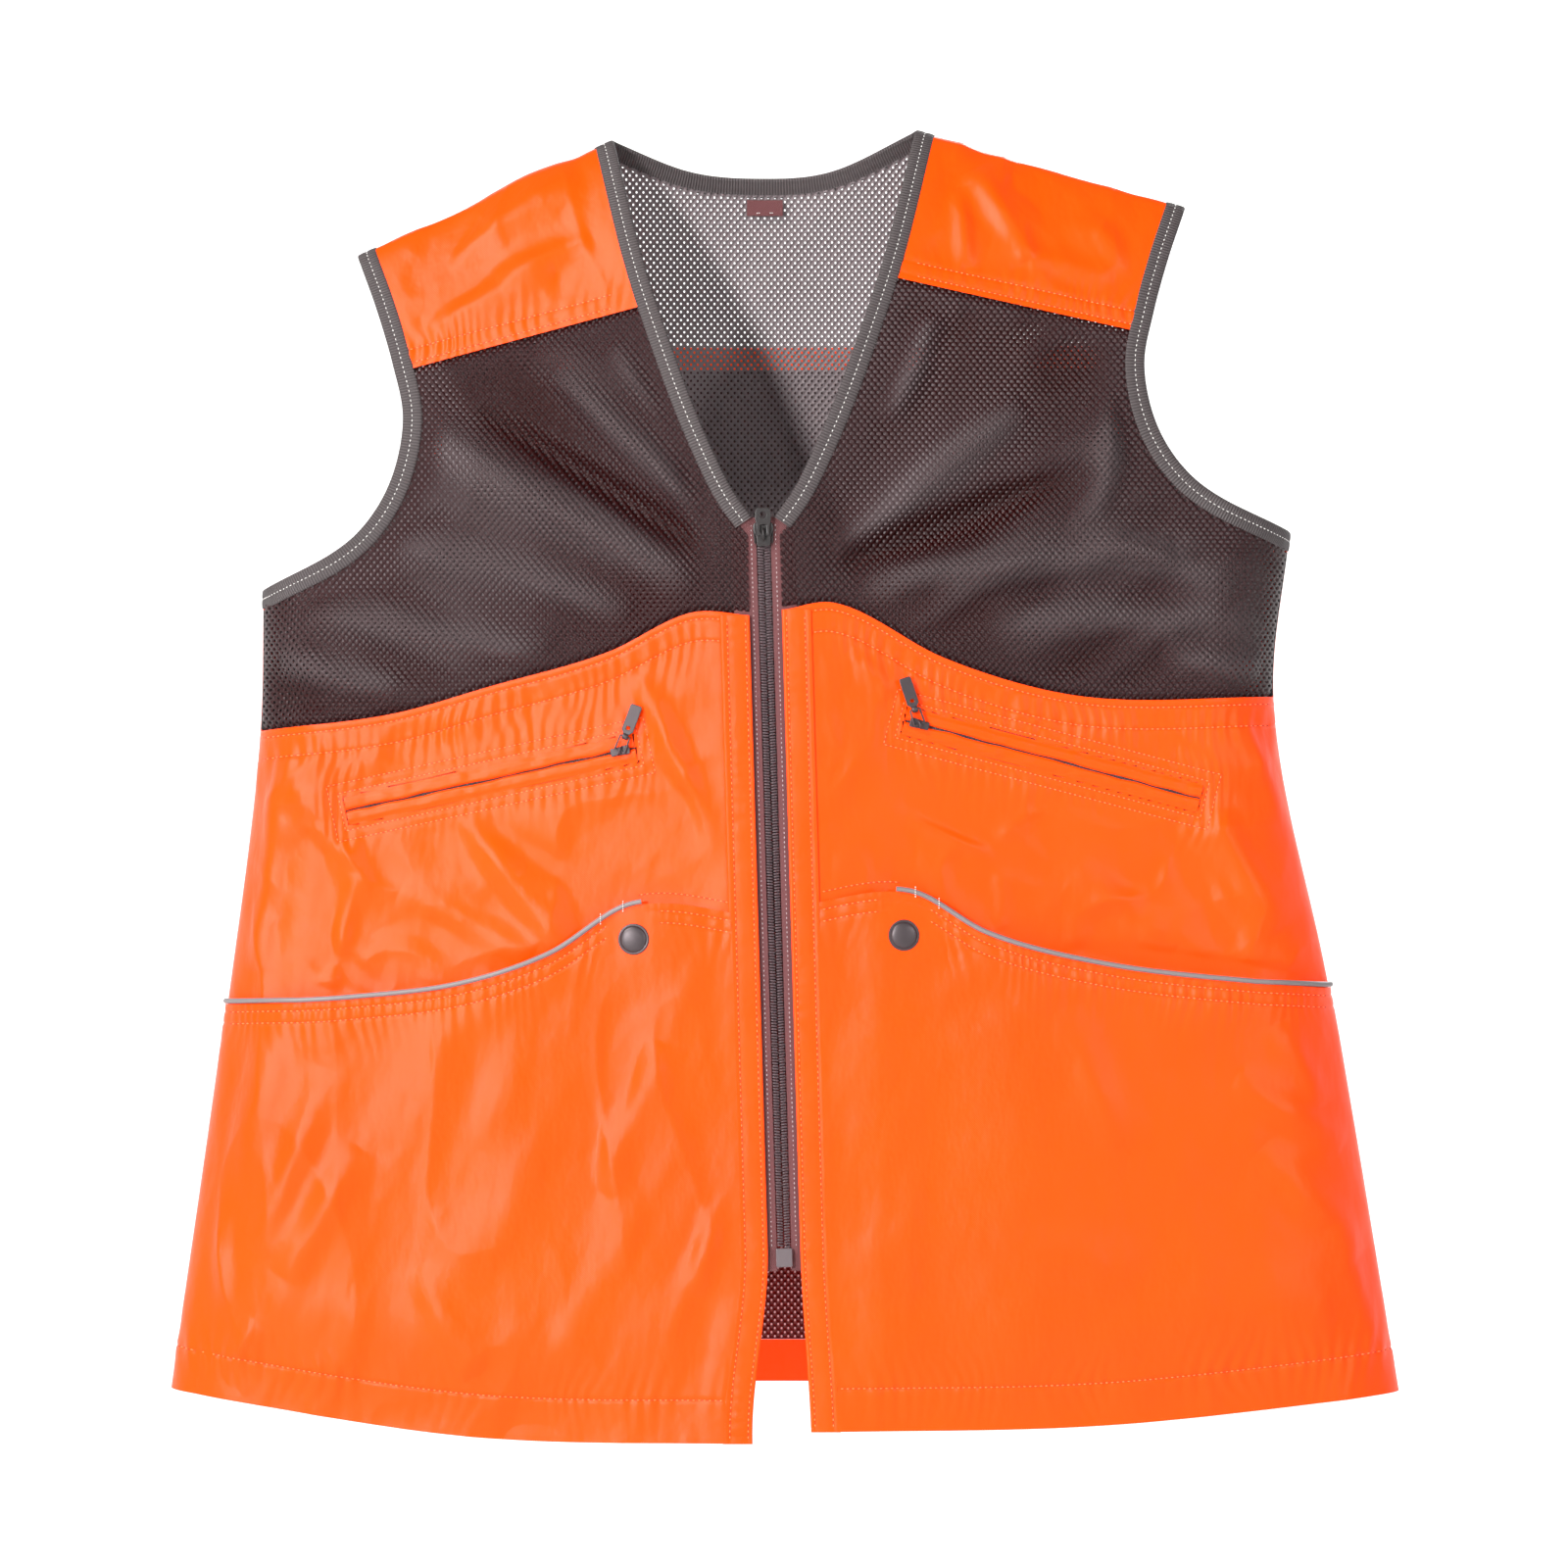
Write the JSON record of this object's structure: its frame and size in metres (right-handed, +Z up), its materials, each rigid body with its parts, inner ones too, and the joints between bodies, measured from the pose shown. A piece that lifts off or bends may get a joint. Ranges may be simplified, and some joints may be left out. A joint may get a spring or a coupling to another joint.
{
  "type": "mesh-chest field vest",
  "caption": "Sleeveless orange field vest with a dark mesh chest, V neck, zipped front, two zipped chest pockets and two snapped lower pockets, as it hangs from a hanger.",
  "frame": {"origin": "the rest point on a hanger: on the middle plane between front and back, midway across, at the mean height of the two neck points", "axes": "+Z up, -Y out of the front, +X towards the wearer's left"},
  "size_m": [0.6328, 0.1125, 0.6733],
  "materials": {
    "orange_nylon": "bright orange woven nylon with a soft shine",
    "dark_mesh": "open dark grey knitted mesh",
    "ribbed_binding": "dark grey ribbed edge tape",
    "zip_tape": "dark grey woven zip tape",
    "zip_coil": "dark nylon coil",
    "reflective_piping": "pale grey satin piping",
    "gunmetal": "gunmetal plated",
    "black_metal": "black painted metal",
    "moulded_plastic": "dark moulded plastic",
    "pocket_lining": "thin orange lining cloth"
  },
  "bodies": {
    "vest": {"back_band": "orange_nylon", "back_hem_facing": "orange_nylon", "back_mesh": "dark_mesh", "back_outer_panel": "orange_nylon", "insertion_pin": "gunmetal", "left_armhole_binding": "ribbed_binding", "left_chest_pocket_bag": "pocket_lining", "left_chest_welt_lower": "orange_nylon", "left_chest_welt_upper": "orange_nylon", "left_chest_zip_chain": "zip_coil", "left_front_mesh": "dark_mesh", "left_front_panel": "orange_nylon", "left_hem_facing": "orange_nylon", "left_placket": "orange_nylon", "left_pocket_panel": "orange_nylon", "left_pocket_piping": "reflective_piping", "left_snap_post": "gunmetal", "left_snap_stud": "gunmetal", "left_top_stop": "gunmetal", "left_yoke": "orange_nylon", "left_zip_chain": "zip_coil", "left_zip_tape": "zip_tape", "neck_binding": "ribbed_binding", "neck_label": "ribbed_binding", "retainer_box": "moulded_plastic", "right_armhole_binding": "ribbed_binding", "right_chest_pocket_bag": "pocket_lining", "right_chest_welt_lower": "orange_nylon", "right_chest_welt_upper": "orange_nylon", "right_chest_zip_chain": "zip_coil", "right_front_mesh": "dark_mesh", "right_front_panel": "orange_nylon", "right_hem_facing": "orange_nylon", "right_placket": "orange_nylon", "right_pocket_panel": "orange_nylon", "right_pocket_piping": "reflective_piping", "right_snap_post": "gunmetal", "right_snap_stud": "gunmetal", "right_top_stop": "gunmetal", "right_yoke": "orange_nylon", "right_zip_chain": "zip_coil", "right_zip_tape": "zip_tape"},
    "main_slider": {"main_slider": "black_metal", "main_slider_back": "black_metal"},
    "main_pull": {"main_pull": "black_metal"},
    "right_chest_slider": {"right_chest_slider": "gunmetal"},
    "right_pull_link": {"right_pull_link": "gunmetal"},
    "right_pull_tab": {"right_pull_tab": "gunmetal"},
    "right_snap": {"right_snap_cap": "gunmetal", "right_snap_washer": "orange_nylon", "right_snap_socket": "gunmetal"},
    "left_chest_slider": {"left_chest_slider": "gunmetal"},
    "left_pull_link": {"left_pull_link": "gunmetal"},
    "left_pull_tab": {"left_pull_tab": "gunmetal"},
    "left_snap": {"left_snap_cap": "gunmetal", "left_snap_washer": "orange_nylon", "left_snap_socket": "gunmetal"}
  },
  "joints": [
    {"name": "main_zip_slide", "type": "slide", "parent": "vest", "child": "main_slider", "axis": [0.0289, 0, -0.9996], "range_m": [0, 0.355]},
    {"name": "main_pull_flip", "type": "hinge", "parent": "main_slider", "child": "main_pull", "pos_m": [-0.004, -0.0582, -0.2065], "axis": [0.9996, 0, 0.0289], "range_deg": [0, 175]},
    {"name": "right_chest_zip_slide", "type": "slide", "parent": "vest", "child": "right_chest_slider", "axis": [-0.9722, 0.0978, -0.2128], "range_m": [0, 0.134]},
    {"name": "right_pull_link_flip", "type": "hinge", "parent": "right_chest_slider", "child": "right_pull_link", "pos_m": [-0.07719, -0.05406, -0.31671], "axis": [0.9308, -0.0921, -0.3537], "range_deg": [0, 140]},
    {"name": "right_pull_tab_swing", "type": "hinge", "parent": "right_pull_link", "child": "right_pull_tab", "pos_m": [-0.07439, -0.05436, -0.30928], "axis": [0.9308, -0.0921, -0.3537], "range_deg": [0, 40]},
    {"name": "right_snap_open", "type": "slide", "parent": "vest", "child": "right_snap", "axis": [-0.0995, -0.995, -0.0029], "range_m": [0, 0.0035]},
    {"name": "left_chest_zip_slide", "type": "slide", "parent": "vest", "child": "left_chest_slider", "axis": [0.9627, 0.0955, -0.2533], "range_m": [0, 0.134]},
    {"name": "left_pull_link_flip", "type": "hinge", "parent": "left_chest_slider", "child": "left_pull_link", "pos_m": [0.07561, -0.05402, -0.30301], "axis": [0.9445, 0.0954, 0.3144], "range_deg": [0, 140]},
    {"name": "left_pull_tab_swing", "type": "hinge", "parent": "left_pull_link", "child": "left_pull_tab", "pos_m": [0.07312, -0.05425, -0.29547], "axis": [0.9445, 0.0954, 0.3144], "range_deg": [0, 40]},
    {"name": "left_snap_open", "type": "slide", "parent": "vest", "child": "left_snap", "axis": [0.0995, -0.995, 0.0029], "range_m": [0, 0.0035]}
  ]
}
